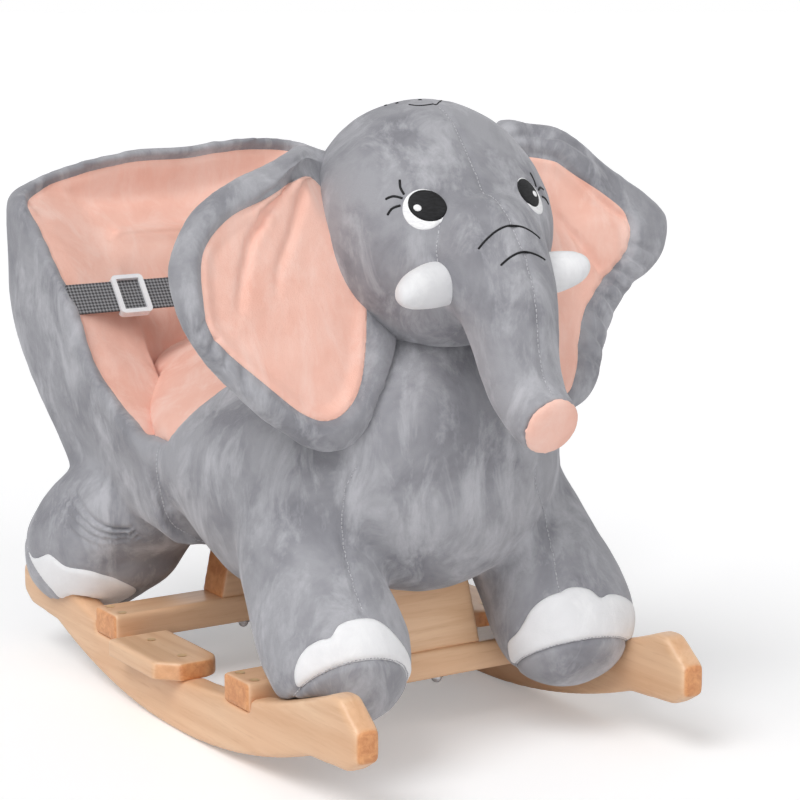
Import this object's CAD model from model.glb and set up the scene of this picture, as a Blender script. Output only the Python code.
"""Looks of a plush rocking elephant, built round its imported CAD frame. Metres, X forward, Z up."""

import math

import bmesh
import bpy
import numpy as np
from mathutils import Matrix, Vector, noise
from mathutils.bvhtree import BVHTree
from mathutils.kdtree import KDTree


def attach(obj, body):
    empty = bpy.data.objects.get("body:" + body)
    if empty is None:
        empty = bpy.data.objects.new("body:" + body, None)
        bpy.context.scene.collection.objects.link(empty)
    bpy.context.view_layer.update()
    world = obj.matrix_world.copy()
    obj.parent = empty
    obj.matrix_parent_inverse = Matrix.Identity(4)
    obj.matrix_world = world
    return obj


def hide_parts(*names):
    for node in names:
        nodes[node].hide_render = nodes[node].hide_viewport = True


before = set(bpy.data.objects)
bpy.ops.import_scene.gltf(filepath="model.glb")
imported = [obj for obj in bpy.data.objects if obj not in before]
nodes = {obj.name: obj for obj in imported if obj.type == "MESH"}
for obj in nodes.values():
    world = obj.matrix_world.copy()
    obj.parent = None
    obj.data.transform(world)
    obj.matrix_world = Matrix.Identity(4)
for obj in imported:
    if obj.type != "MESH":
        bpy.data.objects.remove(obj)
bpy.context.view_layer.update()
MM = 0.001
ROOT = "elephant"
SIDES = {"right": -1, "left": 1}

# Camera

SENSOR = 36.0
LENS = 108.0
CAMERA_PLACE = Vector((1.73835, -1.04417, 0.63588))
CAMERA_TARGET = Vector((0.10125, 0.0, 0.28068))


def make_camera():
    """The photograph's camera."""
    camera = bpy.data.objects.new("camera", bpy.data.cameras.new("camera"))
    bpy.context.scene.collection.objects.link(camera)
    camera.data.sensor_width = SENSOR
    camera.data.lens = LENS
    camera.data.clip_start, camera.data.clip_end = 0.05, 30.0
    camera.location = CAMERA_PLACE
    camera.rotation_euler = (CAMERA_TARGET - CAMERA_PLACE).to_track_quat("-Z", "Y").to_euler()
    bpy.context.scene.camera = camera


# Mesh helpers


def new_object(name, mesh):
    """An object of the mesh, linked to the scene."""
    obj = bpy.data.objects.new(name, mesh)
    bpy.context.scene.collection.objects.link(obj)
    return obj


def shade_smooth(mesh):
    """Turns smooth shading on for the whole mesh."""
    mesh.polygons.foreach_set("use_smooth", [True] * len(mesh.polygons))


def mesh_from(name, corners, faces):
    """An object from corner places and faces."""
    mesh = bpy.data.meshes.new(name)
    mesh.from_pydata([tuple(corner) for corner in corners], [], [tuple(face) for face in faces])
    mesh.validate()
    shade_smooth(mesh)
    return new_object(name, mesh)


def rows_of(items, key, width, kind=float):
    """One set of a mesh's numbers, a row for each of its items."""
    flat = np.empty(len(items) * width, kind)
    items.foreach_get(key, flat)
    return flat.reshape(-1, width)


def corners_of(mesh):
    """The mesh's corner places, one row each."""
    return rows_of(mesh.vertices, "co", 3)


def set_corners(mesh, places):
    """Moves the mesh's corners."""
    mesh.vertices.foreach_set("co", np.asarray(places, np.float32).ravel())
    mesh.update()


def normals_of(mesh):
    """The mesh's corner normals, one row each."""
    return rows_of(mesh.vertex_normals, "vector", 3)


def edges_of(mesh):
    """The mesh's edges as pairs of corner numbers."""
    return rows_of(mesh.edges, "vertices", 2, np.int64)


def pushed_out(obj, amounts):
    """Moves each corner out along its normal, by its own amount."""
    set_corners(obj.data, corners_of(obj.data) + normals_of(obj.data) * amounts[:, None])


def applied(obj):
    """Works the object's modifiers into its mesh."""
    graph = bpy.context.evaluated_depsgraph_get()
    made = bpy.data.meshes.new_from_object(obj.evaluated_get(graph), depsgraph=graph)
    obj.modifiers.clear()
    obj.data = made
    shade_smooth(made)
    return obj


def subdivided(obj):
    """The object with its faces divided once, on a smooth surface."""
    modifier = obj.modifiers.new("finer", "SUBSURF")
    modifier.levels = modifier.render_levels = 1
    return applied(obj)


def thickened(obj, thickness):
    """The object as a layer of cloth: its surface stays, and the layer grows inwards."""
    modifier = obj.modifiers.new("layer", "SOLIDIFY")
    modifier.thickness = thickness
    modifier.offset = -1
    return applied(obj)


def neighbours_of(mesh):
    """Every edge's corners, both ways round, and each corner's number of edges."""
    edges = edges_of(mesh)
    ends = np.concatenate([edges[:, 0], edges[:, 1]])
    others = np.concatenate([edges[:, 1], edges[:, 0]])
    degree = np.maximum(np.bincount(ends, minlength=len(mesh.vertices)), 1)
    return ends, others, degree


def smoothed(obj, rounds, amount=0.5):
    """Moves each corner towards the middle of its neighbours, by one amount or an amount for each."""
    places = corners_of(obj.data)
    count = len(places)
    ends, others, degree = neighbours_of(obj.data)
    share = np.broadcast_to(np.asarray(amount, float), count)[:, None]
    for _ in range(rounds):
        sums = np.stack([np.bincount(ends, places[others, axis], count) for axis in range(3)], 1)
        places = places + share * (sums / degree[:, None] - places)
    set_corners(obj.data, places)
    return obj


def eased(obj, values, rounds):
    """Values for the object's corners, evened out between neighbours."""
    ends, others, degree = neighbours_of(obj.data)
    for _ in range(rounds):
        values = 0.5 * (values + np.bincount(ends, values[others], len(values)) / degree)
    return values


def keep_outer(mesh):
    """Deletes closed shells inside the mesh, keeping the one with the most corners."""
    edges = edges_of(mesh)
    label = np.arange(len(mesh.vertices))
    while True:
        lowest = label.copy()
        np.minimum.at(lowest, edges[:, 0], label[edges[:, 1]])
        np.minimum.at(lowest, edges[:, 1], label[edges[:, 0]])
        lowest = lowest[lowest]
        if np.array_equal(lowest, label):
            break
        label = lowest
    names, counts = np.unique(label, return_counts=True)
    keep = names[np.argmax(counts)]
    joined = bmesh.new()
    joined.from_mesh(mesh)
    joined.verts.ensure_lookup_table()
    inner = [joined.verts[index] for index in np.nonzero(label != keep)[0]]
    bmesh.ops.delete(joined, geom=inner, context="VERTS")
    joined.to_mesh(mesh)
    joined.free()


def joined_nodes(names):
    """Copies of the named solids in one mesh to edit."""
    joined = bmesh.new()
    for name in names:
        joined.from_mesh(nodes[name].data)
    return joined


def skin(name, members, voxel, rounds, fill=()):
    """One closed skin round copies of the named solids. Fill names solids that only close hollows."""
    joined = joined_nodes(list(members) + list(fill))
    bmesh.ops.remove_doubles(joined, verts=joined.verts, dist=1e-6)
    mesh = bpy.data.meshes.new(name)
    joined.to_mesh(mesh)
    joined.free()
    obj = new_object(name, mesh)
    remesh = obj.modifiers.new("voxels", "REMESH")
    remesh.mode = "VOXEL"
    remesh.voxel_size = voxel
    applied(obj)
    keep_outer(obj.data)
    smoothed(obj, rounds)
    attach(obj, ROOT)
    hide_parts(*members)
    return obj


def tree_of(mesh):
    """A search tree of a mesh's faces."""
    copied = bmesh.new()
    copied.from_mesh(mesh)
    tree = BVHTree.FromBMesh(copied)
    copied.free()
    return tree


def tree_of_nodes(names):
    """A search tree of several solids' faces."""
    joined = joined_nodes(names)
    tree = BVHTree.FromBMesh(joined)
    joined.free()
    return tree


def finder_of(path):
    """A search tree of points, numbered in their order."""
    finder = KDTree(len(path))
    for index, point in enumerate(path):
        finder.insert(point, index)
    finder.balance()
    return finder


def within(places, points, reach):
    """Numbers of the places in the box round some points, a reach wider on every side."""
    points = np.array([tuple(point) for point in points])
    low, high = points.min(axis=0) - reach, points.max(axis=0) + reach
    return np.nonzero(np.all((places > low) & (places < high), axis=1))[0]


def clear_of(obj, members, gap):
    """Moves the skin out wherever it comes closer than a gap to hard solids under it."""
    places = corners_of(obj.data)
    for member in members:
        tree = tree_of(nodes[member].data)
        for index in within(places, corners_of(nodes[member].data), gap):
            spot, out, _, distance = tree.find_nearest(places[index])
            inside = (Vector(places[index]) - spot).dot(out) < 0
            if inside or distance < gap:
                places[index] = spot + out * gap
    set_corners(obj.data, places)


def sunk_into(obj, member, reach, depth, rounds):
    """Carries what lies within reach of another solid down into it, and evens it out there."""
    places = corners_of(obj.data)
    weight = np.zeros(len(places))
    tree = tree_of(nodes[member].data)
    for index in within(places, corners_of(nodes[member].data), reach):
        spot, out, _, distance = tree.find_nearest(places[index])
        inside = (Vector(places[index]) - spot).dot(out) < 0
        share = 1.0 if inside else max(0.0, 1 - distance / reach)
        if distance < reach:
            places[index] -= out * depth * share
            weight[index] = share
    set_corners(obj.data, places)
    smoothed(obj, rounds, 0.5 * weight)


# Lines, outlines and fields


def square_to(out):
    """The level direction and the upward one that are square to a given one."""
    across = Vector((0, 0, 1)).cross(out).normalized()
    return across, out.cross(across)


def rounded_line(points, step, closed=False):
    """Points about a step apart on a smooth curve through the given points."""
    given = [Vector(point) for point in points]
    count = len(given)
    made = []
    for index in range(count if closed else count - 1):
        around = [given[(index + shift) % count] if closed else given[min(max(index + shift, 0), count - 1)]
                  for shift in (-1, 0, 1, 2)]
        before, start, end, after = around
        pieces = max(1, round((end - start).length / step))
        for piece in range(pieces):
            share = piece / pieces
            made.append(0.5 * (2 * start + (end - before) * share
                               + (2 * before - 5 * start + 4 * end - after) * share ** 2
                               + (3 * start - before - 3 * end + after) * share ** 3))
    if not closed:
        made.append(given[-1])
    return made


def signed_distance(points, outline):
    """Distance of flat points to a closed outline, positive inside it."""
    points = np.asarray(points, float)
    starts = np.array([tuple(corner)[:2] for corner in outline])
    ends = np.roll(starts, -1, axis=0)
    nearest = np.full(len(points), np.inf)
    inside = np.zeros(len(points), bool)
    for (ax, ay), (bx, by) in zip(starts, ends):
        run_x, run_y = bx - ax, by - ay
        off_x, off_y = points[:, 0] - ax, points[:, 1] - ay
        share = np.clip((off_x * run_x + off_y * run_y) / (run_x ** 2 + run_y ** 2 + 1e-18), 0, 1)
        nearest = np.minimum(nearest, np.hypot(off_x - share * run_x, off_y - share * run_y))
        if ay != by:
            crosses = (ay > points[:, 1]) != (by > points[:, 1])
            inside ^= crosses & (off_x < run_x * off_y / run_y)
    return np.where(inside, nearest, -nearest)


def bell(distance, width):
    """A smooth bump: 1 at no distance and next to nothing beyond two widths."""
    return np.exp(-(np.asarray(distance) / width) ** 2)


def beside(value, middle, width):
    """A smooth bump round a middle value."""
    return bell(value - middle, width)


def ramp(value, low, high):
    """0 below low, 1 above high, and smooth between them."""
    share = np.clip((np.asarray(value, float) - low) / (high - low), 0, 1)
    return share * share * (3 - 2 * share)


def in_metres(points):
    """Points given in millimetres."""
    return [Vector(point) * MM for point in points]


def mirrored(points, side):
    """Points given for the right side, on the side asked for."""
    return [(x, y if side < 0 else -y, z) for x, y, z in points]


FADES = {"both": lambda share: math.sin(math.pi * share) ** 0.5,
         "end": lambda share: (1 - share) ** 0.7,
         "none": lambda share: 1.0}


def carved(obj, line, depth, width, fade):
    """Presses a groove along a line of points, or raises a ridge where the depth is negative.

    It fades out at both ends, at its last point only, or not at all."""
    surface = tree_of(obj.data)
    path = [surface.find_nearest(point)[0] for point in rounded_line(line, width / 2)]
    finder = finder_of(path)
    places, normals = corners_of(obj.data), normals_of(obj.data)
    reach = 2.5 * width
    for index in within(places, path, reach):
        _, at, distance = finder.find(places[index])
        if distance < reach:
            strength = FADES[fade]((at + 0.5) / len(path))
            places[index] -= normals[index] * depth * strength * math.exp(-(distance / width) ** 2)
    set_corners(obj.data, places)


def rumpled(obj, rises):
    """Gives the surface the rises and hollows of stuffing: heights and sizes in millimetres, and seeds."""
    for height, size, seed in rises:
        start = Vector((seed * 7.3, seed * 3.1, seed * 5.7))
        rise = [noise.noise(Vector(place) / (size * MM) + start) for place in corners_of(obj.data)]
        pushed_out(obj, np.array(rise) * height * MM)


def cut_out(obj, values, name):
    """Cuts the object where its corners' values cross zero. What is above zero becomes an object."""
    joined = bmesh.new()
    joined.from_mesh(obj.data)
    level = joined.verts.layers.float.new("level")
    for vertex, value in zip(joined.verts, values):
        vertex[level] = value if abs(value) > 1e-7 else 1e-7
    for edge in [edge for edge in joined.edges if edge.verts[0][level] * edge.verts[1][level] < 0]:
        start, end = edge.verts
        share = start[level] / (start[level] - end[level])
        _, between = bmesh.utils.edge_split(edge, start, share)
        between[level] = 0.0
    for face in list(joined.faces):
        met = [vertex for vertex in face.verts if vertex[level] == 0.0]
        if len(met) == 2 and len(face.verts) > 3:
            bmesh.utils.face_split(face, met[0], met[1])
    above = [face for face in joined.faces if sum(vertex[level] for vertex in face.verts) > 0]
    whole = joined.copy()
    bmesh.ops.delete(joined, geom=above, context="FACES")
    joined.to_mesh(obj.data)
    joined.free()
    level = whole.verts.layers.float["level"]
    below = [face for face in whole.faces if sum(vertex[level] for vertex in face.verts) <= 0]
    bmesh.ops.delete(whole, geom=below, context="FACES")
    mesh = bpy.data.meshes.new(name)
    whole.to_mesh(mesh)
    whole.free()
    for made in (obj.data, mesh):
        made.attributes.remove(made.attributes["level"])
        shade_smooth(made)
    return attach(new_object(name, mesh), ROOT)


# Materials


class Paint:
    """A material's nodes, added one at a time and joined by name."""

    def __init__(self, name):
        self.material = bpy.data.materials.new(name)
        self.material.use_nodes = True
        self.tree = self.material.node_tree
        self.surface = self.tree.nodes["Principled BSDF"]

    def add(self, kind, inputs=None, **settings):
        """A node with settings, its inputs set to numbers or joined to other nodes' outputs."""
        node = self.tree.nodes.new(kind)
        for key, value in settings.items():
            setattr(node, key, value)
        self.fill(node, inputs or {})
        return node.outputs[0]

    def fill(self, node, inputs):
        """Sets or joins a node's inputs."""
        for key, value in inputs.items():
            if isinstance(value, bpy.types.NodeSocket):
                self.tree.links.new(value, node.inputs[key])
            else:
                node.inputs[key].default_value = value

    def source(self, kind, output):
        """One output of a node that has no inputs."""
        return self.tree.nodes.new(kind).outputs[output]

    def place(self, stretch=(1, 1, 1), turn=(0, 0, 0)):
        """Places in the object's own frame, stretched and turned."""
        coordinates = self.source("ShaderNodeTexCoord", "Object")
        return self.add("ShaderNodeMapping", {"Vector": coordinates, "Scale": stretch, "Rotation": turn})

    def noise(self, scale, detail=3.0, roughness=0.5, distortion=0.0, place=None):
        """Noise with features of about 1/scale metres."""
        return self.add("ShaderNodeTexNoise", {
            "Vector": place or self.place(), "Scale": scale, "Detail": detail,
            "Roughness": roughness, "Distortion": distortion})

    def remap(self, value, low, high, to_low=0.0, to_high=1.0):
        """A value stretched to another range and kept inside it."""
        return self.add("ShaderNodeMapRange", {
            "Value": value, "From Min": low, "From Max": high, "To Min": to_low, "To Max": to_high})

    def math(self, operation, *values):
        """One arithmetic step."""
        return self.add("ShaderNodeMath", dict(enumerate(values)), operation=operation)

    def mix(self, share, first, second):
        """One colour fading to another."""
        node = self.tree.nodes.new("ShaderNodeMix")
        node.data_type = "RGBA"
        self.fill(node, {0: share, 6: first, 7: second})
        return node.outputs[2]

    def bump(self, height, distance, strength=1.0, below=None):
        """A bump of a real height, on top of another bump."""
        inputs = {"Height": height, "Distance": distance, "Strength": strength}
        if below:
            inputs["Normal"] = below
        return self.add("ShaderNodeBump", inputs)

    def finish(self, **inputs):
        """Fills the surface shader's inputs and gives the material."""
        self.fill(self.surface, {key.replace("_", " "): value for key, value in inputs.items()})
        return self.material


def rgb(red, green, blue):
    """A colour from the 0 to 255 values it shows on a screen."""
    values = [channel / 255 for channel in (red, green, blue)]
    return tuple(value / 12.92 if value <= 0.04045 else ((value + 0.055) / 1.055) ** 2.4
                 for value in values) + (1.0,)


def plush(name, dark, middle, light, sheen_tint):
    """Short velvety pile: brushed patches, a fine grain and a soft sheen."""
    paint = Paint(name)
    patches = paint.noise(17.0, detail=4.0, roughness=0.62, distortion=0.35)
    strokes = paint.noise(30.0, detail=5.0, roughness=0.68, distortion=0.5,
                          place=paint.place(stretch=(1.0, 1.0, 0.4), turn=(0.3, 0.5, 0.0)))
    grain = paint.noise(1100.0, detail=2.0, roughness=0.7)
    tufts = paint.noise(260.0, detail=3.0, roughness=0.6)
    colour = paint.mix(paint.remap(patches, 0.36, 0.62), dark, middle)
    colour = paint.mix(paint.remap(strokes, 0.47, 0.66, 0.0, 0.8), colour, light)
    colour = paint.mix(paint.remap(grain, 0.3, 0.7, 0.0, 0.14), colour, dark)
    low = paint.bump(strokes, 0.0014, 0.4)
    normal = paint.bump(tufts, 0.0006, 0.45, below=low)
    normal = paint.bump(grain, 0.0004, 0.6, below=normal)
    return paint.finish(Base_Color=colour, Normal=normal, Roughness=0.92, Specular_IOR_Level=0.15,
                        Sheen_Weight=0.35, Sheen_Roughness=0.45, Sheen_Tint=sheen_tint)


def stitching(name, dark, light):
    """Shiny thread in satin stitch."""
    paint = Paint(name)
    threads = paint.noise(900.0, detail=2.0, place=paint.place(stretch=(0.25, 0.25, 1.0)))
    colour = paint.mix(paint.remap(threads, 0.35, 0.65), dark, light)
    normal = paint.bump(threads, 0.0003, 0.5)
    return paint.finish(Base_Color=colour, Normal=normal, Roughness=0.6, Specular_IOR_Level=0.25)


def wood(name, grain_axis):
    """Clear varnished wood with its grain along one axis and darker end grain."""
    paint = Paint(name)
    stretch = [1.0, 1.0, 1.0]
    stretch[grain_axis] = 0.07
    along = paint.place(stretch=tuple(stretch))
    rings = paint.noise(55.0, detail=5.0, roughness=0.55, distortion=1.2, place=along)
    lines = paint.noise(420.0, detail=3.0, roughness=0.6, place=along)
    pores = paint.noise(1500.0, detail=1.0, place=along)
    cloud = paint.noise(9.0, detail=2.0)
    colour = paint.mix(paint.remap(rings, 0.35, 0.68), rgb(238, 199, 162), rgb(222, 177, 137))
    colour = paint.mix(paint.remap(lines, 0.55, 0.75, 0.0, 0.35), colour, rgb(200, 150, 108))
    colour = paint.mix(paint.remap(cloud, 0.4, 0.7, 0.0, 0.3), colour, rgb(228, 172, 132))
    axis = [0.0, 0.0, 0.0]
    axis[grain_axis] = 1.0
    facing = paint.tree.nodes.new("ShaderNodeVectorMath")
    facing.operation = "DOT_PRODUCT"
    paint.fill(facing, {0: paint.source("ShaderNodeNewGeometry", "Normal"), 1: tuple(axis)})
    end = paint.remap(paint.math("ABSOLUTE", facing.outputs["Value"]), 0.55, 0.85)
    end_spots = paint.noise(130.0, detail=4.0, roughness=0.7, distortion=0.6)
    end_colour = paint.mix(paint.remap(end_spots, 0.35, 0.65), rgb(230, 166, 112), rgb(204, 134, 84))
    colour = paint.mix(end, colour, end_colour)
    normal = paint.bump(lines, 0.0002, 0.35)
    normal = paint.bump(pores, 0.0001, 0.3, below=normal)
    rough = paint.remap(cloud, 0.3, 0.7, 0.38, 0.52)
    return paint.finish(Base_Color=colour, Normal=normal, Roughness=rough, Coat_Weight=0.25,
                        Coat_Roughness=0.3)


def metal(name, colour, roughness, metallic=1.0):
    """Plated steel with fine scratches and a few dull spots."""
    paint = Paint(name)
    scratches = paint.noise(700.0, detail=4.0, place=paint.place(stretch=(1.0, 0.2, 0.4)))
    dull = paint.noise(140.0, detail=3.0)
    tone = paint.mix(paint.remap(dull, 0.4, 0.7, 0.0, 0.3), colour, rgb(150, 150, 150))
    rough = paint.remap(scratches, 0.3, 0.7, roughness * 0.7, roughness * 1.4)
    return paint.finish(Base_Color=tone, Metallic=metallic, Roughness=rough,
                        Normal=paint.bump(scratches, 0.0001, 0.25))


def plastic(name, colour, shade, roughness):
    """Moulded plastic with a faint grain and slight changes of tone."""
    paint = Paint(name)
    cloud = paint.noise(60.0, detail=2.0)
    grain = paint.noise(1600.0, detail=2.0)
    tone = paint.mix(paint.remap(cloud, 0.35, 0.7, 0.0, 1.0), colour, shade)
    rough = paint.remap(grain, 0.3, 0.7, roughness * 0.8, roughness * 1.2)
    return paint.finish(Base_Color=tone, Roughness=rough, Normal=paint.bump(grain, 0.00005, 0.4))


BELT_LEAN = math.radians(38.0)
WEAVE_PITCH = 3.2 * MM


def webbing(name):
    """Polyester webbing: two tones of thread in small diagonal steps, across the belt's lean."""
    paint = Paint(name)
    own = paint.place(turn=(0.0, BELT_LEAN, 0.0))
    parts = paint.tree.nodes.new("ShaderNodeSeparateXYZ")
    paint.fill(parts, {0: own})
    along = paint.math("MULTIPLY", parts.outputs["Y"], math.pi / WEAVE_PITCH)
    across = paint.math("MULTIPLY", parts.outputs["Z"], math.pi / WEAVE_PITCH)
    one = paint.math("SINE", paint.math("ADD", along, across))
    two = paint.math("SINE", paint.math("SUBTRACT", along, across))
    check = paint.math("MULTIPLY", one, two)
    fuzz = paint.noise(1500.0, detail=2.0)
    colour = paint.mix(paint.remap(check, -0.35, 0.35), rgb(46, 46, 49), rgb(150, 150, 153))
    colour = paint.mix(paint.remap(fuzz, 0.35, 0.7, 0.0, 0.35), colour, rgb(88, 88, 90))
    normal = paint.bump(check, 0.0004, 0.9)
    normal = paint.bump(fuzz, 0.0002, 0.4, below=normal)
    return paint.finish(Base_Color=colour, Normal=normal, Roughness=0.75, Sheen_Weight=0.2)


GREY = plush("grey_pile", rgb(134, 134, 140), rgb(165, 165, 170), rgb(194, 194, 199),
             sheen_tint=(0.92, 0.92, 0.96, 1.0))
PINK = plush("pink_pile", rgb(243, 188, 170), rgb(250, 203, 187), rgb(253, 215, 202),
             sheen_tint=(1.0, 0.9, 0.85, 1.0))
WHITE = plush("white_pile", rgb(232, 232, 234), rgb(241, 241, 243), rgb(248, 248, 249),
              sheen_tint=(1.0, 1.0, 1.0, 1.0))
BLACK_THREAD = stitching("black_thread", rgb(6, 6, 8), rgb(26, 26, 29))
WHITE_THREAD = stitching("white_thread", rgb(236, 236, 238), rgb(250, 250, 250))
SEAM_THREAD = stitching("seam_thread", rgb(172, 172, 177), rgb(204, 204, 208))
WEBBING = webbing("belt_webbing")
WOOD_X = wood("wood_grain_x", 0)
WOOD_Y = wood("wood_grain_y", 1)
WOOD_Z = wood("wood_grain_z", 2)
ZINC = metal("zinc_plate", rgb(205, 205, 208), 0.32)
YELLOW_ZINC = metal("yellow_zinc", rgb(236, 200, 150), 0.42, 0.4)
WHITE_PLASTIC = plastic("white_plastic", rgb(240, 240, 242), rgb(232, 232, 236), 0.28)
BLACK_PLASTIC = plastic("black_plastic", rgb(38, 38, 41), rgb(48, 48, 51), 0.42)
CASE_PLASTIC = plastic("case_plastic", rgb(226, 226, 222), rgb(216, 216, 212), 0.45)
GREEN_BOARD = plastic("board_green", rgb(28, 96, 52), rgb(22, 80, 44), 0.4)

# The solids that show as they are, by material
PLAIN_NODES = [
    (WOOD_X, "rocker_right rocker_left footrest_right footrest_left base_board"),
    (WOOD_Y, "crossbar_front crossbar_rear riser_front riser_rear handle_bar"),
    (WOOD_Z, "back_board head_post"),
    (YELLOW_ZINC, "crossbar_screws footrest_screws"),
    (ZINC, "base_bolts bolt_washers dome_nuts frame_screws button_cells"),
    (BLACK_PLASTIC, "speaker sound_button buckle_socket buckle_plug"),
    (CASE_PLASTIC, "sound_case sound_cover"),
    (GREEN_BOARD, "circuit_board"),
    (WHITE_PLASTIC, "belt_slider"),
    (WEBBING, "belt_strap_right belt_strap_left")]


def painted(obj, material):
    """Gives the object one material and names the record's slot for it."""
    obj.data.materials.clear()
    obj.data.materials.append(material)
    return obj


def stuffed(obj, material):
    """Finishes a soft piece: its material, its slot and how full it is."""
    painted(obj, material)
    return obj


# Seams and embroidery laid on a skin


def ring_faces(first, rings, sides):
    """Faces between rings of corners numbered one after another, then the first end's and the last's."""
    last = first + (rings - 1) * sides
    faces = [(low + turn, low + (turn + 1) % sides, low + sides + (turn + 1) % sides, low + sides + turn)
             for low in range(first, last, sides) for turn in range(sides)]
    return faces + [list(reversed(range(first, first + sides))), list(range(last, last + sides))]


# Across and along shapes of a stitch, a band and a patch, as shares of their sizes
STITCH_SHARES = [(-0.5, 0.35), (-0.36, 1.0), (0.36, 1.0), (0.5, 0.35)]
STITCH_LENGTH_SHARE, STITCH_LIFT_SHARE = 0.72, 0.3
BAND_SHARES = [(-1.0, -0.6), (-0.82, 0.55), (-0.42, 0.92), (0.0, 1.0), (0.42, 0.92), (0.82, 0.55),
               (1.0, -0.6)]
PATCH_SHARES = [(1.0, -0.6), (0.985, 0.35), (0.95, 0.8), (0.85, 1.0), (0.7, 1.0), (0.5, 1.0), (0.25, 1.0)]
STITCH_PITCH, STITCH_RADIUS, BAND_STEP = 3.6 * MM, 0.42 * MM, 0.7 * MM
PATCH_DOME = 0.35


def thread(name, skin_obj, lines):
    """Rows of small stitches along lines on a grey skin."""
    surface = tree_of(skin_obj.data)
    corners, faces = [], []
    sides = 6
    for line in lines:
        path = [surface.find_nearest(point) for point in rounded_line(line, STITCH_PITCH)]
        for (start, up, _, _), (end, _, _, _) in zip(path, path[1:]):
            run = end - start
            if run.length < 1e-6:
                continue
            across = run.cross(up).normalized()
            middle = (start + end) / 2 + up * STITCH_RADIUS * STITCH_LIFT_SHARE
            faces += ring_faces(len(corners), len(STITCH_SHARES), sides)
            for share, wide in STITCH_SHARES:
                for turn in range(sides):
                    angle = 2 * math.pi * turn / sides
                    out = across * math.cos(angle) + up * math.sin(angle)
                    corners.append(middle + run * share * STITCH_LENGTH_SHARE + out * STITCH_RADIUS * wide)
    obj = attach(mesh_from(name, corners, faces), ROOT)
    return painted(obj, SEAM_THREAD)


def band(name, surface, lines, width, height):
    """Raised satin-stitch lines that follow a surface, with round ends."""
    corners, faces = [], []
    for line in lines:
        path = [surface.find_nearest(point) for point in rounded_line(line, BAND_STEP)]
        count = len(path)
        faces += ring_faces(len(corners), count, len(BAND_SHARES))
        for index, (spot, up, _, _) in enumerate(path):
            before, after = path[max(index - 1, 0)][0], path[min(index + 1, count - 1)][0]
            across = (after - before).cross(up).normalized()
            end = min(index, count - 1 - index) * BAND_STEP / (width / 2)
            wide = math.sqrt(max(1 - (1 - min(end, 1)) ** 2, 0.02))
            ridge = 0.86 + 0.14 * (index % 2)
            for share, rise in BAND_SHARES:
                place = spot + across * share * width / 2 * wide
                on_skin, out, _, _ = surface.find_nearest(place)
                lift = height * (rise * ridge if rise > 0 else rise)
                corners.append(on_skin + out * lift * (wide if rise > 0 else 1))
    return painted(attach(mesh_from(name, corners, faces), ROOT), BLACK_THREAD)


def patch(name, surface, middle, half_across, half_up, turn, height, material):
    """A raised oval of satin stitch on a surface, round a middle point."""
    spot, out, _, _ = surface.find_nearest(middle)
    across, up = square_to(out)
    sides = 72
    corners = []
    for wide, rise in PATCH_SHARES:
        for step in range(sides):
            angle = 2 * math.pi * step / sides
            flat_x, flat_y = half_across * wide * math.cos(angle), half_up * wide * math.sin(angle)
            place = spot + across * (flat_x * math.cos(turn) - flat_y * math.sin(turn)) \
                + up * (flat_x * math.sin(turn) + flat_y * math.cos(turn))
            on_skin, normal, _, _ = surface.find_nearest(place)
            domed = PATCH_DOME * (1 - wide * wide) * (rise > 0)
            corners.append(on_skin + normal * height * (rise + domed))
    on_skin, normal, _, _ = surface.find_nearest(spot)
    corners.append(on_skin + normal * height * (1 + PATCH_DOME))
    last = (len(PATCH_SHARES) - 1) * sides
    faces = ring_faces(0, len(PATCH_SHARES), sides)[:-1]
    faces += [(last + step, last + (step + 1) % sides, len(corners) - 1) for step in range(sides)]
    return painted(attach(mesh_from(name, corners, faces), ROOT), material)


# Body and seat: one skin, cut into grey plush, pink lining and white toe patches

GREY_SEAT = ["seat_shell_back", "wing_shell_right", "wing_shell_left"]
PINK_SEAT = ["back_pad", "wing_pad_right", "wing_pad_left"]
BODY_SOLIDS = ["torso", "neck", "haunch", "front_leg_right", "front_leg_left", "rear_leg_right",
               "rear_leg_left"]
SEAT_FLOOR_Z = 232.0
SEAT_MIDDLE = np.array((-150.0, 0.0))
RIM_BAND, RIM_STEP = 11 * MM, 3 * MM
LINING_REACH = 20 * MM
# The lining above the back pad: where it begins upwards and backwards, where the rim is, and its half width
UPPER_RISE, UPPER_BACK, RIM_BACK, UPPER_HALF_WIDTH = (396, 420), (225, 250), 240, 162
LAYER, PANEL_LAYER = 1.5 * MM, 1.2 * MM
# Seams as depth and half width. The layers are the thickness of the cloth
SEAM_GROOVE, SOLE_GROOVE, HEAD_GROOVE = (2.4 * MM, 3.6 * MM), (1.6 * MM, 3.0 * MM), (1.7 * MM, 2.8 * MM)
# Rise and the seam's depth and half width, at the edges of the toe patches and of the lining
TOE_RISE, TOE_EDGE, TOE_SEAM = 0.9 * MM, (-0.5 * MM, 2.5 * MM), (0.8 * MM, 2 * MM)
LINING_RISE, LINING_EDGE, LINING_SEAM = 1.5 * MM, (4 * MM, 18 * MM), (2.2 * MM, 4 * MM)
BOARDS_INSIDE = ["back_board", "base_board", "head_post"]
BOARD_COVER, BOARD_LEAST_COVER = 3.5 * MM, 2 * MM
BOARD_TOP = [(-266, -104, 388), (-266, 104, 388)]

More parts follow.
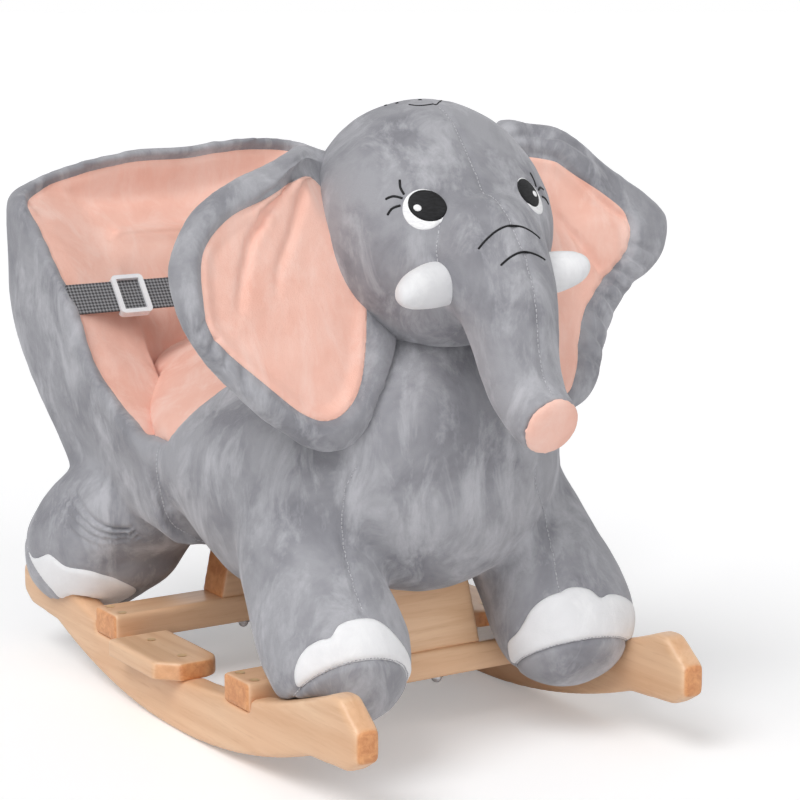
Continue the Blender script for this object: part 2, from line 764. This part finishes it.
# Lines on the right side, in millimetres. LEG_SEAMS are on both sides
WING_EDGE = [(-284, -170, 436), (-279, -172, 427), (-222, -172, 382), (-165, -171, 335), (-144, -170, 309),
             (-116, -167, 275), (-75, -162, 246), (-43, -158, 232)]
RIM_EDGE = [(-285, -172, 427), (-313, -163, 431), (-319, -120, 446), (-319, -60, 458), (-319, 0, 463)]
LEG_JOIN = [(66, -138, 205), (92, -150, 228), (130, -148, 238), (163, -128, 238), (186, -104, 224)]
HAUNCH_SEAM = [(-46, -150, 232), (-50, -148, 212), (-52, -145, 198), (-52, -141, 180), (-52, -130, 160),
               (-52, -104, 144), (-52, -60, 135), (-52, 0, 133)]
FOLD_GUIDE = [(-181, -162, 172), (-158, -167, 160), (-138, -168, 151), (-120, -165, 145), (-109, -158, 140),
              (-89, -146, 136), (-73, -132, 135)]
# The rear leg's folds: how far below the guide each starts, and its depth, in millimetres
REAR_FOLDS = [(0, 5.5), (9, 5.0), (17, 4.5), (26, 3.5)]
FOLD_WIDTH, FOLD_GATHER, FOLD_REACH = 2.7, 0.5, 34 * MM
FOLD_END_WIDTH = 4.0
LEG_SEAMS = {
    "right": [(188, -96, 250), (184, -102, 236), (180, -104, 216), (176, -101, 196), (192, -105, 179),
              (210, -109, 159), (222, -110, 145)],
    "left": [(207, 63, 234), (204, 67, 216), (190, 82, 200), (180, 91, 189), (194, 87, 170),
             (212, 80, 146), (219, 78, 135)]}


def line_weight(places, line, width):
    """1 at a line of points in millimetres, fading to nothing two widths away."""
    path = rounded_line(in_metres(line), width / 2)
    finder = finder_of(path)
    weight = np.zeros(len(places))
    for index in within(places, path, 2.2 * width):
        weight[index] = bell(finder.find(places[index])[2], width)
    return weight


def softened(obj, line, width, rounds):
    """Rounds the skin off along a line in millimetres."""
    weight = line_weight(corners_of(obj.data), line, width)
    return smoothed(obj, rounds, 0.5 * np.clip(weight * 1.4, 0, 1))


def lining_field(obj):
    """For each corner, above zero where the seat's pink solids are nearer than its grey ones.

    Above the back pad, the lining is what faces the sitter, up to a grey band along the rim."""
    pink = tree_of_nodes(PINK_SEAT)
    grey = tree_of_nodes(GREY_SEAT + ["haunch"])
    places, normals = corners_of(obj.data), normals_of(obj.data)
    field = np.full(len(places), -LINING_REACH)
    for index in np.nonzero(places[:, 2] > SEAT_FLOOR_Z * MM)[0]:
        field[index] = grey.find_nearest(places[index])[3] - pink.find_nearest(places[index])[3]
    field = np.clip(field, -LINING_REACH, LINING_REACH)
    inwards = SEAT_MIDDLE * MM - places[:, :2]
    inwards /= np.linalg.norm(inwards, axis=1)[:, None]
    facing = np.sum(inwards * normals[:, :2], axis=1) * 10 * MM
    columns = np.round(places[:, 1] / RIM_STEP).astype(int)
    columns -= columns.min()
    tops = np.full(columns.max() + 1, -1.0)
    np.maximum.at(tops, columns, np.where(places[:, 0] < -RIM_BACK * MM, places[:, 2], -1.0))
    spread = np.ones(5) / 5
    tops = np.convolve(np.pad(tops, 2, mode="edge"), spread, mode="valid")
    below_rim = tops[columns] - RIM_BAND - places[:, 2]
    upper_field = np.minimum(np.minimum(facing, below_rim), UPPER_HALF_WIDTH * MM - np.abs(places[:, 1]))
    upper = ramp(places[:, 2] / MM, *UPPER_RISE) * ramp(-places[:, 0] / MM, *UPPER_BACK)
    return eased(obj, (1 - upper) * field + upper * upper_field, 6)


# Feet: the middle of each right foot, in millimetres, and how far its skin is from there
FOOT_MIDDLES = {"front": (184, -109, 99), "rear": (-228, -128, 100)}
FOOT_RADIUS = 58.0
# A foot's patch lies nearer than the first, and further ahead of its middle than the second
FOOT_NEAR_SHARE, FOOT_AHEAD_SHARE = 1.7, -0.4
# Toe patches as (turn outwards from straight ahead, rise) in degrees, seen from the foot's middle
FRONT_PATCHES = {
    "right": [(68, 1), (65, 12), (59, 22), (49, 29), (39, 32), (31, 42), (11, 46), (-8, 44), (-21, 36),
              (-33, 22), (-45, 7), (-55, -8), (-62, -24), (-50, -20), (-30, -10), (-10, -3), (10, 1),
              (27, 3), (43, 0), (56, -6), (66, -10)],
    "left": [(64, -8), (58, 4), (50, 14), (41, 20), (25, 28), (12, 31), (1, 30), (-9, 38), (-27, 41),
             (-43, 36), (-58, 28), (-68, 17), (-79, -2), (-94, -16), (-100, -34), (-85, -40), (-65, -30),
             (-49, -22), (-28, -18), (-10, -14), (18, -15), (42, -18), (60, -20)]}
REAR_PATCH = [(98, 6), (82, 4), (68, 8), (59, 11), (51, 8), (43, 4), (28, 3), (19, 0), (8, -5), (-8, -16),
              (-10, -30), (0, -44), (23, -66), (60, -68), (88, -50), (100, -22)]
FEET = [(end, side_name) for side_name in SIDES for end in ("front", "rear")]
# Soles: the direction a sole faces, in the same degrees, and its half angle
SOLES = {"front_right": (9, -45, 58), "front_left": (-10, -60, 56), "rear": (133, -37, 55)}


def towards(turn, rise, side):
    """The direction a turn outwards and a rise give, in degrees."""
    turn, rise = math.radians(turn), math.radians(rise)
    return Vector((math.cos(rise) * math.cos(turn), side * math.cos(rise) * math.sin(turn), math.sin(rise)))


def foot_middle(end, side):
    """A foot's middle, in metres."""
    x, y, z = FOOT_MIDDLES[end]
    return Vector((x, -side * y, z)) * MM


def sole_of(end, side_name):
    """The direction one foot's sole faces, and its half angle."""
    return SOLES["rear" if end == "rear" else f"{end}_{side_name}"]


def flattened(directions, facing):
    """Directions from a foot's middle as flat places round one of them, in metres along the skin."""
    across, up = square_to(facing)
    units = np.asarray(directions, float)
    units = units / np.linalg.norm(units, axis=1)[:, None]
    ahead = np.clip(units @ np.array(facing), -1, 1)
    side_part, up_part = units @ np.array(across), units @ np.array(up)
    length = np.maximum(np.hypot(side_part, up_part), 1e-9)
    angle = np.arccos(ahead) * FOOT_RADIUS * MM
    return np.stack([side_part / length * angle, up_part / length * angle], 1)


def toe_field(end, side_name):
    """A field above zero on one foot's toe patch."""
    side = SIDES[side_name]
    angles = FRONT_PATCHES[side_name] if end == "front" else REAR_PATCH
    outline = [towards(turn, rise, side) for turn, rise in angles]
    facing = sum(outline, Vector()).normalized()
    flat = flattened([tuple(direction) for direction in outline], facing)
    smooth = rounded_line([(x, y, 0) for x, y in flat], 2 * MM, closed=True)
    middle = foot_middle(end, side)
    sole_turn, sole_rise, sole_half = sole_of(end, side_name)
    sole = np.array(towards(sole_turn, sole_rise, side))

    def field(places):
        away = places - np.array(middle)
        values = np.full(len(places), -1.0)
        near = np.linalg.norm(away, axis=1) < FOOT_NEAR_SHARE * FOOT_RADIUS * MM
        near &= (away @ np.array(facing)) > FOOT_AHEAD_SHARE * FOOT_RADIUS * MM
        values[near] = signed_distance(flattened(away[near], facing), smooth)
        turned = np.arccos(np.clip(away[near] @ sole / np.linalg.norm(away[near], axis=1), -1, 1))
        above_sole = (turned - math.radians(sole_half)) * FOOT_RADIUS * MM
        values[near] = np.minimum(values[near], above_sole)
        return values

    return field


def sole_line(end, side_name, surface):
    """The closed seam round a sole, on the skin."""
    side = SIDES[side_name]
    turn, rise, half = sole_of(end, side_name)
    facing, middle = towards(turn, rise, side), foot_middle(end, side)
    across, up = square_to(facing)
    line = []
    for step in range(49):
        angle = 2 * math.pi * step / 48
        out = across * math.cos(angle) + up * math.sin(angle)
        direction = facing * math.cos(math.radians(half)) + out * math.sin(math.radians(half))
        hit = surface.ray_cast(middle, direction)[0]
        line.append(hit if hit else middle + direction * FOOT_RADIUS * MM)
    return line


# How far soft parts hang, give way or fill out, in millimetres
BELLY_DROP, CHEST_DROP, THIGH_BACK, SHIN_OUT, PAD_IN, RIM_LIFT = 46, 11, 20, 13, 20, 24
# Where they do: a middle and a width for a bump, or where a ramp starts and ends
BELLY_X, BELLY_Y, BELLY_DEPTH = (42, 74), (126, 46), (-235, -165)
CHEST_X, CHEST_Y, CHEST_DEPTH = (150, 75), (0, 75), (-205, -150)
THIGH_FRONT, THIGH_REAR, THIGH_DEPTH, THIGH_Y = (-172, -118), (40, 90), (-145, -105), (40, 70)
SHIN_X, SHIN_Z, SHIN_Y = (-162, 32), (104, 36), (60, 90)
PAD_X, PAD_Z, PAD_OUTSIDE, PAD_EDGE, PAD_INSIDE = (-120, 55), (268, 32), 158, (0, 14), (90, 115)
RIM_X, RIM_Z, RIM_Y = (235, 290), (330, 430), (0, 150)


def sagged(obj):
    """Lets the belly hang, shapes the rear legs, fills the wing pads, and lifts the rim's left end."""
    places = corners_of(obj.data)
    x, y, z = (places / MM).T
    outwards = np.abs(y)
    belly = beside(x, *BELLY_X) * beside(outwards, *BELLY_Y) * ramp(-z, *BELLY_DEPTH)
    chest = beside(x, *CHEST_X) * beside(y, *CHEST_Y) * ramp(-z, *CHEST_DEPTH)
    places[:, 2] -= (BELLY_DROP * belly + CHEST_DROP * chest) * MM
    thigh = ramp(x, *THIGH_FRONT) * ramp(-x, *THIGH_REAR) * ramp(-z, *THIGH_DEPTH) * ramp(outwards, *THIGH_Y)
    places[:, 0] -= THIGH_BACK * thigh * MM
    shin = beside(x, *SHIN_X) * beside(z, *SHIN_Z) * ramp(outwards, *SHIN_Y)
    places[:, 0] += SHIN_OUT * shin * MM
    pad = beside(x, *PAD_X) * beside(z, *PAD_Z) * ramp(PAD_OUTSIDE - outwards, *PAD_EDGE)
    pad *= ramp(outwards, *PAD_INSIDE)
    places[:, 1] -= np.sign(y) * PAD_IN * pad * MM
    rim = ramp(-x, *RIM_X) * ramp(z, *RIM_Z) * ramp(y, *RIM_Y)
    places[:, 2] += RIM_LIFT * rim * MM
    set_corners(obj.data, places)
    return obj


def creased(obj, side):
    """Presses the rear leg's folds, which start side by side and gather towards the belly."""
    surface = tree_of(obj.data)
    guide = rounded_line(in_metres(mirrored(FOLD_GUIDE, side)), 2 * MM)
    path, outs = zip(*[surface.find_nearest(point)[:2] for point in guide])
    finder = finder_of(path)
    places, normals = corners_of(obj.data), normals_of(obj.data)
    for index in within(places, path, FOLD_REACH):
        spot, at, distance = finder.find(places[index])
        along = path[min(at + 1, len(path) - 1)] - path[max(at - 1, 0)]
        down = side * outs[at].cross(along).normalized()
        below = (Vector(places[index]) - spot).dot(down) / MM
        share = (at + 0.5) / len(path)
        past_end = math.exp((below ** 2 - (distance / MM) ** 2) / FOLD_END_WIDTH ** 2)
        strength = FADES["both"](share) * min(past_end, 1.0)
        apart = 1 - FOLD_GATHER * share
        press = sum(depth * beside(below / apart, start, FOLD_WIDTH) for start, depth in REAR_FOLDS)
        places[index] -= normals[index] * press * strength * MM
    set_corners(obj.data, places)


def make_body():
    """The grey body with its seams and folds, the seat's lining and the toe patches."""
    obj = skin("body_plush", BODY_SOLIDS + GREY_SEAT, voxel=4 * MM, rounds=3,
               fill=PINK_SEAT + BOARDS_INSIDE)
    sunk_into(obj, "head", 16 * MM, 7 * MM, rounds=4)
    sagged(obj)
    for side in SIDES.values():
        softened(obj, mirrored(LEG_JOIN, side), 20 * MM, 50)
        softened(obj, mirrored(WING_EDGE, side), 9 * MM, 12)
        softened(obj, mirrored(RIM_EDGE, side), 8 * MM, 8)
    subdivided(obj)
    smoothed(obj, 2)
    rumpled(obj, [(1.6, 55, 1), (0.5, 16, 2)])
    seams = []
    surface = tree_of(obj.data)
    for side_name, side in SIDES.items():
        creased(obj, side)
        haunch = in_metres(mirrored(HAUNCH_SEAM, side))
        leg = in_metres(LEG_SEAMS[side_name])
        for line in (haunch, leg):
            carved(obj, line, *SEAM_GROOVE, fade="none")
            seams.append(line)
        for end in ("front", "rear"):
            line = sole_line(end, side_name, surface)
            carved(obj, line, *SOLE_GROOVE, fade="none")
            seams.append(line)
    for foot in FEET:
        distance = toe_field(*foot)(corners_of(obj.data))
        pushed_out(obj, TOE_RISE * ramp(distance, *TOE_EDGE) - TOE_SEAM[0] * bell(distance, TOE_SEAM[1]))
    clear_of(obj, BOARDS_INSIDE, BOARD_COVER)
    softened(obj, BOARD_TOP, 26 * MM, 40)
    clear_of(obj, ["back_board"], BOARD_LEAST_COVER)
    thread("body_stitches", obj, seams)
    field = lining_field(obj)
    pushed_out(obj, LINING_RISE * ramp(field, *LINING_EDGE) - LINING_SEAM[0] * bell(field, LINING_SEAM[1]))
    lining = cut_out(obj, lining_field(obj), "seat_lining")
    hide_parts(*PINK_SEAT)
    stuffed(thickened(lining, LAYER), PINK)
    for end, side_name in FEET:
        distance = toe_field(end, side_name)(corners_of(obj.data))
        toe = cut_out(obj, distance, f"toe_patch_{end}_{side_name}")
        painted(thickened(toe, LAYER), WHITE)
    stuffed(thickened(obj, LAYER), GREY)
    return obj


# Head and trunk

CENTRE_SEAM = [(150, 0, 526), (166, 0, 521), (188, 0, 504), (204, 0, 486), (220, 0, 463), (239, 0, 457),
               (257, 0, 443), (276, 0, 420), (287, 0, 397), (296, 0, 358), (301, 0, 326), (310, 0, 312)]
CHEEK_SEAM = [(224, -42, 442), (227, -46, 432), (229, -49, 421), (231, -50, 404), (233, -49, 388)]
WRINKLES = [
    [(259, -31, 423), (261, -24, 431.5), (262, -14, 438.5), (262, -2, 441), (262, 12, 437.5),
     (261, 25, 428)],
    [(274, -21, 411.5), (275, -12, 418), (275, -1, 421), (275, 10, 418.5), (273, 21, 413)]]
LASHES = [
    [(196.5, -61, 472), (200, -62.5, 466), (204, -61.6, 461)],
    [(196.5, -74, 457.5), (200, -69, 460), (205, -63.5, 458.5)],
    [(201.5, -75.5, 446), (202.5, -71.5, 451), (206, -66, 453.5)]]
HAIR_CURVES = [[(148, -22, 526), (154, -17, 524.5), (156, -7, 525.5), (152, 4, 527), (144, 12, 528)]]
HAIR_DOTS = [(134, -24, 527), (140, -6, 528.5), (126, -30, 526)]
TRUNK_END = Vector((312, 0, 290)) * MM
# The share by which the trunk's end is wider, and its lift
TRUNK_FLARE = (0.16, 4 * MM)
TRUNK_AIM = Vector((0.93, 0.0, -0.37)).normalized()


def flared(obj, spread, lift):
    """Widens what lies round the trunk's end, across its aim, and lifts it."""
    places = corners_of(obj.data)
    away = places - np.array(TRUNK_END)
    aim = np.array(TRUNK_AIM)
    across = away - (away @ aim)[:, None] * aim
    near = bell(np.linalg.norm(away, axis=1), 48 * MM)[:, None]
    set_corners(obj.data, places + near * (across * spread + np.array((0, 0, lift))))
    return obj


def make_head():
    """The head and trunk in one skin, with seams and embroidery."""
    obj = skin("head_plush", ["head", "trunk"], voxel=3.6 * MM, rounds=3)
    flared(obj, *TRUNK_FLARE)
    subdivided(obj)
    smoothed(obj, 2)
    rumpled(obj, [(1.2, 50, 3), (0.4, 15, 4)])
    plain = tree_of(obj.data)
    seams = [in_metres(CENTRE_SEAM)]
    seams += [in_metres(mirrored(CHEEK_SEAM, side)) for side in SIDES.values()]
    for line in seams:
        carved(obj, line, *HEAD_GROOVE, fade="none")
    thread("head_stitches", obj, seams)
    surface = tree_of(obj.data)
    band("trunk_wrinkles", plain, [in_metres(line) for line in WRINKLES], 1.9 * MM, 0.7 * MM)
    lashes = [in_metres(mirrored(line, side)) for side in SIDES.values() for line in LASHES]
    band("eyelashes", surface, lashes, 2.1 * MM, 0.7 * MM)
    band("hair_curve", surface, [in_metres(line) for line in HAIR_CURVES], 1.5 * MM, 0.6 * MM)
    for index, spot in enumerate(HAIR_DOTS):
        patch(f"hair_dot_{index + 1}", surface, Vector(spot) * MM, 1.5 * MM, 1.3 * MM, 0.0, 0.6 * MM,
              BLACK_THREAD)
    make_eyes(surface)
    return stuffed(thickened(obj, LAYER), GREY)


EYE_MIDDLE = (215, -47.5, 452.5)
LEFT_EYE_LIFT = 6.0
EYE_WIDTHS = {"right": 1.0, "left": 0.78}
# Each oval: (outwards and up from the eye's middle, half width, half height, lift), in millimetres
EYE_OVALS = {
    "white": ((3.6, -2.6), 16.4, 16.6, 0.7, WHITE_THREAD),
    "black": ((0.6, 0.0), 15.6, 12.8, 1.3, BLACK_THREAD),
    "glint": ((8.4, -2.0), 3.3, 2.7, 1.9, WHITE_THREAD)}
EYE_TILT = math.radians(20)


def make_eyes(surface):
    """Embroidered eyes: a white oval, a black one that covers most of it, and a glint."""
    for side_name, side in SIDES.items():
        narrow = EYE_WIDTHS[side_name]
        middle = Vector(mirrored([EYE_MIDDLE], side)[0]) * MM
        middle.z += LEFT_EYE_LIFT * MM * (side > 0)
        spot, out, _, _ = surface.find_nearest(middle)
        across, up = square_to(out)
        for part, ((outwards, rise), half_across, half_up, lift, material) in EYE_OVALS.items():
            place = spot + (across * side * outwards * narrow + up * rise) * MM
            patch(f"eye_{part}_{side_name}", surface, place, half_across * narrow * MM, half_up * MM,
                  side * EYE_TILT, lift * MM, material)


# Ears

EAR_ROOT = (135, 92, 490)
EAR_SWEEP, EAR_TILT = math.radians(0.5), math.radians(12)
EAR_FRONT = 14.0
# Pink panels as (outwards, up) from the ear's root, in millimetres
EAR_PANELS = {
    "right": [(25, -19), (63, -35), (92, -46), (113, -63), (122, -80), (124, -106), (121, -130), (108, -148),
              (89, -166), (64, -189), (48, -201), (32, -207), (15, -203), (-1, -187), (-11, -158),
              (-17, -125), (-28, -100), (-14, -50), (5, -22)],
    "left": [(5, -12), (28, -19), (49, -33), (68, -46), (85, -58), (93, -68), (95, -79), (88, -96),
             (74, -108), (58, -121), (44, -136), (38, -144), (30, -166), (24, -190), (12, -208),
             (-6, -200), (-14, -170), (-18, -125), (-28, -100), (-14, -50), (-6, -20)]}
# Folds: points, depth, half width and where they fade
EAR_FOLDS = {
    "right": [
        ([(27, -18), (41, -29), (60, -46), (76, -66), (86, -92), (94, -120)], 9.0, 4.6, "end"),
        ([(20, -19), (30, -40), (40, -62), (54, -86), (60, -112)], 5.0, 4.4, "end"),
        ([(36, -21), (78, -42), (116, -68)], 3.5, 3.6, "end"),
        ([(33, -23), (50, -36), (72, -60), (84, -84)], -2.5, 3.6, "end"),
        ([(8, -3), (30, -9), (60, -20)], 4.5, 3.4, "end"),
        ([(6, -10), (20, -14), (40, -18)], 3.5, 3.0, "end"),
        ([(122, -122), (136, -136)], 3.2, 2.6, "both"), ([(116, -136), (129, -151)], 3.6, 2.6, "both"),
        ([(108, -148), (119, -166)], 3.4, 2.6, "both"), ([(97, -160), (104, -180)], 2.8, 2.6, "both"),
        ([(-16, -122), (-38, -132)], 4.0, 3.0, "both"), ([(-15, -138), (-40, -150)], 3.2, 3.0, "both"),
        ([(-13, -152), (-32, -168)], 2.2, 3.0, "both")],
    "left": [
        ([(0, -8), (14, -34), (22, -70), (30, -110)], 6.5, 5.5, "end"),
        ([(20, -60), (48, -96), (64, -118)], 5.0, 5.0, "both"),
        ([(92, -90), (122, -100)], 3.6, 3.0, "both"), ([(85, -99), (110, -112)], 4.4, 3.0, "both"),
        ([(75, -108), (99, -124)], 4.8, 3.2, "both"), ([(65, -116), (88, -135)], 4.4, 3.2, "both"),
        ([(54, -126), (76, -148)], 4.4, 3.2, "both"), ([(44, -138), (66, -162)], 4.0, 3.2, "both"),
        ([(36, -152), (56, -176)], 3.4, 3.2, "both"), ([(30, -170), (50, -190)], 2.6, 3.2, "both"),
        ([(4, -2), (40, 0), (80, -16)], 4.0, 4.0, "end")]}
SOUND_PLACE = (56.0, -90.0)
# Where an ear passes behind the head's edge: at one height, how far out, and its slope
EAR_EDGE_UP, EAR_EDGE_OUT, EAR_EDGE_SLOPE = -17.0, 25.0, 0.38
# How far an ear's inner edge is tucked in, and the share of it on each side
EAR_TUCK = Vector((-37, -24, -8)) * MM
EAR_TUCKED = {-1: 1.0, 1: 0.35}
# How each ear's top is raised beside the head: how far out, over what width, and how much
EAR_LIFT = {-1: (2, 30, 10), 1: (-10, 42, 8)}
EAR_LIFT_UP, EAR_TUCK_OVER, EAR_TUCK_UP = (-60, 0), (-5 * MM, 11 * MM), (-165 * MM, -120 * MM)
LEFT_TOP_DROP, LEFT_TOP_OUT, LEFT_TOP_UP = 13, (97, 40), (-80, -40)
# The rim's rise, the panel's sink and its seam's, and the rise over the sound unit, in millimetres
RIM_RISE, PANEL_SINK, PANEL_SEAM, UNIT_RISE, UNIT_REACH = 3.0, 5.0, 2.0, 4.0, 34
PANEL_BACK = 9 * MM


def ear_turn(side):
    """The ear's own axes: out of its pink face, left, and up."""
    return Matrix.Rotation(EAR_SWEEP * side, 3, "Z") @ Matrix.Rotation(-EAR_TILT, 3, "Y")


def ear_root(side):
    """The ear's root, in metres."""
    x, y, z = EAR_ROOT
    return Vector((x, side * y, z)) * MM


def on_ear(side, outwards, up):
    """A place on the ear's front, in metres."""
    return ear_root(side) + ear_turn(side) @ Vector((EAR_FRONT, side * outwards, up)) * MM


def sewn_on(obj, local, side):
    """Tucks an ear's inner edge behind the head's side, into its seam."""
    edge = EAR_EDGE_OUT * MM + (local[:, 2] - EAR_EDGE_UP * MM) * EAR_EDGE_SLOPE
    tuck = ramp(edge - local[:, 1], *EAR_TUCK_OVER) * ramp(local[:, 2], *EAR_TUCK_UP)
    shift = np.array((EAR_TUCK.x, EAR_TUCK.y * side, EAR_TUCK.z)) * EAR_TUCKED[side]
    set_corners(obj.data, corners_of(obj.data) + tuck[:, None] * shift)


def top_drawn(obj, local, side):
    """Raises the ear's top beside the head, and lowers the left ear's top further out."""
    outwards, up = local[:, 1] / MM, local[:, 2] / MM
    middle, width, lift = EAR_LIFT[side]
    beside_head = lift * beside(outwards, middle, width) * ramp(up, *EAR_LIFT_UP)
    further_out = LEFT_TOP_DROP * beside(outwards, *LEFT_TOP_OUT) * ramp(up, *LEFT_TOP_UP) * (side > 0)
    places = corners_of(obj.data)
    places[:, 2] += (beside_head - further_out) * MM
    set_corners(obj.data, places)


def make_ear(side_name):
    """One ear: a stuffed grey rim and back, and a pink panel sewn into its front."""
    side = SIDES[side_name]
    obj = skin(f"ear_{side_name}_plush", [f"ear_{side_name}"], voxel=3.2 * MM, rounds=3)
    subdivided(obj)
    smoothed(obj, 2)
    outline = rounded_line([(x * MM, y * MM, 0) for x, y in EAR_PANELS[side_name]], 3 * MM, closed=True)
    turn, root = np.array(ear_turn(side)), np.array(ear_root(side))

    def own(places):
        local = (places - root) @ turn
        return local * np.array([1, side, 1])

    def field(places):
        local = own(places)
        return np.minimum(signed_distance(local[:, 1:], outline), local[:, 0] + PANEL_BACK)

    distance, local = field(corners_of(obj.data)), own(corners_of(obj.data))
    front = ramp(local[:, 0], 3 * MM, 12 * MM)
    rim = ramp(-distance, 0, 9 * MM) * ramp(distance, -30 * MM, -12 * MM)
    unit = bell(np.hypot(local[:, 1] - SOUND_PLACE[0] * MM, local[:, 2] - SOUND_PLACE[1] * MM),
                UNIT_REACH * MM)
    hollow = 1 - np.clip(1.5 * unit, 0, 1) * (side > 0)
    sink = PANEL_SINK * MM * ramp(distance, -1 * MM, 14 * MM) * hollow
    sink += PANEL_SEAM * MM * bell(distance, 2.5 * MM) - UNIT_RISE * MM * unit * (side > 0)
    pushed_out(obj, front * (RIM_RISE * MM * rim - sink))
    smoothed(obj, 1)
    rumpled(obj, [(1.4, 40, 5 + side), (0.4, 14, 8 + side)])
    for line, depth, width, fade in EAR_FOLDS[side_name]:
        carved(obj, [on_ear(side, *point) for point in line], depth * MM, width * MM, fade)
    sewn_on(obj, own(corners_of(obj.data)), side)
    top_drawn(obj, own(corners_of(obj.data)), side)
    sunk_into(obj, "head", 17 * MM, 9 * MM, rounds=20)
    panel = cut_out(obj, field(corners_of(obj.data)), f"ear_{side_name}_lining")
    stuffed(thickened(panel, PANEL_LAYER), PINK)
    stuffed(thickened(obj, LAYER), GREY)
    return obj


# Small soft pieces


SADDLE_WIDTH_SHARE = 0.94


def make_saddle():
    """The pink saddle cushion."""
    obj = skin("saddle", ["saddle_cushion"], voxel=3.6 * MM, rounds=3)
    set_corners(obj.data, corners_of(obj.data) * np.array((1, SADDLE_WIDTH_SHARE, 1)))
    for member in ("torso", "haunch"):
        sunk_into(obj, member, 9 * MM, 4 * MM, rounds=3)
    subdivided(obj)
    rumpled(obj, [(1.4, 60, 11)])
    return stuffed(thickened(obj, LAYER), PINK)


# Places along a tusk, from the middle outwards: where it thins from and to, and where its root begins
TUSK_THINS, TUSK_ROOT = (44.0, 110.0), 62.0
# Its thickness at the root and how much of that it loses, and how far its root goes in and back
TUSK_THICK_SHARE, TUSK_THIN_SHARE, TUSK_IN_SHARE, TUSK_BACK_SHARE = 1.04, 0.24, 0.8, 0.25
TUSK_MIDDLE = np.array((234.0, 0.0, 394.5))
# How far each tusk's end hangs down, and how much shorter it is
TUSK_DROP = {"right": 7.0, "left": -5.0}
TUSK_CUT = {"right": 3.0, "left": 12.0}


def make_tusks():
    """Two white stuffed tusks, thinner towards round ends. The right one hangs a little."""
    for side_name, side in SIDES.items():
        obj = skin(f"tusk_{side_name}_plush", [f"tusk_{side_name}"], voxel=2.2 * MM, rounds=6)
        places = corners_of(obj.data)
        share = ramp(side * places[:, 1] / MM, *TUSK_THINS)
        thin = (TUSK_THICK_SHARE - TUSK_THIN_SHARE * share)[:, None]
        middle = TUSK_MIDDLE * MM
        flat = places * np.array((1, 0, 1)) - middle
        places = middle + flat * thin + places * np.array((0, 1, 0))
        places[:, 2] -= TUSK_DROP[side_name] * MM * share
        places[:, 1] -= side * TUSK_CUT[side_name] * MM * share
        root = np.maximum(TUSK_ROOT * MM - side * places[:, 1], 0)
        places[:, 1] -= side * TUSK_IN_SHARE * root
        places[:, 0] -= TUSK_BACK_SHARE * root
        set_corners(obj.data, places)
        subdivided(obj)
        rumpled(obj, [(0.8, 20, 12)])
        stuffed(obj, WHITE)


def make_trunk_tip():
    """The pink disc that closes the trunk."""
    obj = skin("trunk_tip_plush", ["trunk_tip"], voxel=1.8 * MM, rounds=6)
    flared(obj, *TRUNK_FLARE)
    subdivided(obj)
    stuffed(obj, PINK)


# Floor and light


def make_floor():
    """A plain pale floor that keeps the object's shadow."""
    size = 80.0
    floor = mesh_from("floor", [(-size, -size, 0), (size, -size, 0), (size, size, 0), (-size, size, 0)],
                      [(0, 1, 2, 3)])
    paint = Paint("floor_white")
    rays = paint.source("ShaderNodeLightPath", "Is Camera Ray")
    paint.fill(paint.surface, {"Base Color": rgb(246, 246, 247), "Roughness": 0.8,
                               "Emission Color": (1.0, 1.0, 1.0, 1.0),
                               "Emission Strength": paint.math("MULTIPLY", rays, 0.22)})
    floor.data.materials.append(paint.material)


def make_lamp(name, strength, towards_lamp, spread):
    """A soft distant lamp."""
    lamp = bpy.data.objects.new(name, bpy.data.lights.new(name, "SUN"))
    lamp.data.energy = strength
    lamp.data.angle = math.radians(spread)
    lamp.rotation_euler = Vector(towards_lamp).to_track_quat("Z", "Y").to_euler()
    bpy.context.scene.collection.objects.link(lamp)


def make_light():
    """A soft key from the upper left, a weak fill from the front, and a pale surround."""
    make_lamp("key", 1.6, (0.3, -0.75, 1.0), 35)
    make_lamp("fill", 0.75, (1.0, -0.15, 0.5), 60)
    world = bpy.data.worlds.new("surround")
    bpy.context.scene.world = world
    world.use_nodes = True
    tree = world.node_tree
    background = tree.nodes["Background"]
    path = tree.nodes.new("ShaderNodeLightPath")
    shown = tree.nodes.new("ShaderNodeMath")
    shown.operation = "MAXIMUM"
    tree.links.new(path.outputs["Is Camera Ray"], shown.inputs[0])
    tree.links.new(path.outputs["Is Glossy Ray"], shown.inputs[1])
    level = tree.nodes.new("ShaderNodeMapRange")
    level.inputs["To Min"].default_value = 0.35
    level.inputs["To Max"].default_value = 1.0
    tree.links.new(shown.outputs[0], level.inputs["Value"])
    background.inputs["Color"].default_value = (1.0, 1.0, 1.0, 1.0)
    tree.links.new(level.outputs[0], background.inputs["Strength"])


# Rounds of smoothing for the edges of the wooden pieces
WOODEN = {"rocker_right": 24, "rocker_left": 24, "crossbar_front": 4, "crossbar_rear": 4, "riser_front": 4,
          "riser_rear": 4, "footrest_right": 6, "footrest_left": 6, "handle_bar": 4}


def round_wood():
    """Softens the edges of the wooden pieces, most at the rockers' ends."""
    for name, rounds in WOODEN.items():
        remesh = nodes[name].modifiers.new("fine", "REMESH")
        remesh.mode = "VOXEL"
        remesh.voxel_size = 2 * MM
        remesh.use_smooth_shade = True
        soften = nodes[name].modifiers.new("soft edges", "SMOOTH")
        soften.factor = 0.5
        soften.iterations = rounds


make_camera()
make_floor()
make_light()
bpy.context.scene.view_settings.view_transform = "Standard"
for material, names in PLAIN_NODES:
    for name in names.split():
        painted(nodes[name], material)
make_body()
make_head()
for side_name in SIDES:
    make_ear(side_name)
make_saddle()
make_tusks()
make_trunk_tip()
round_wood()
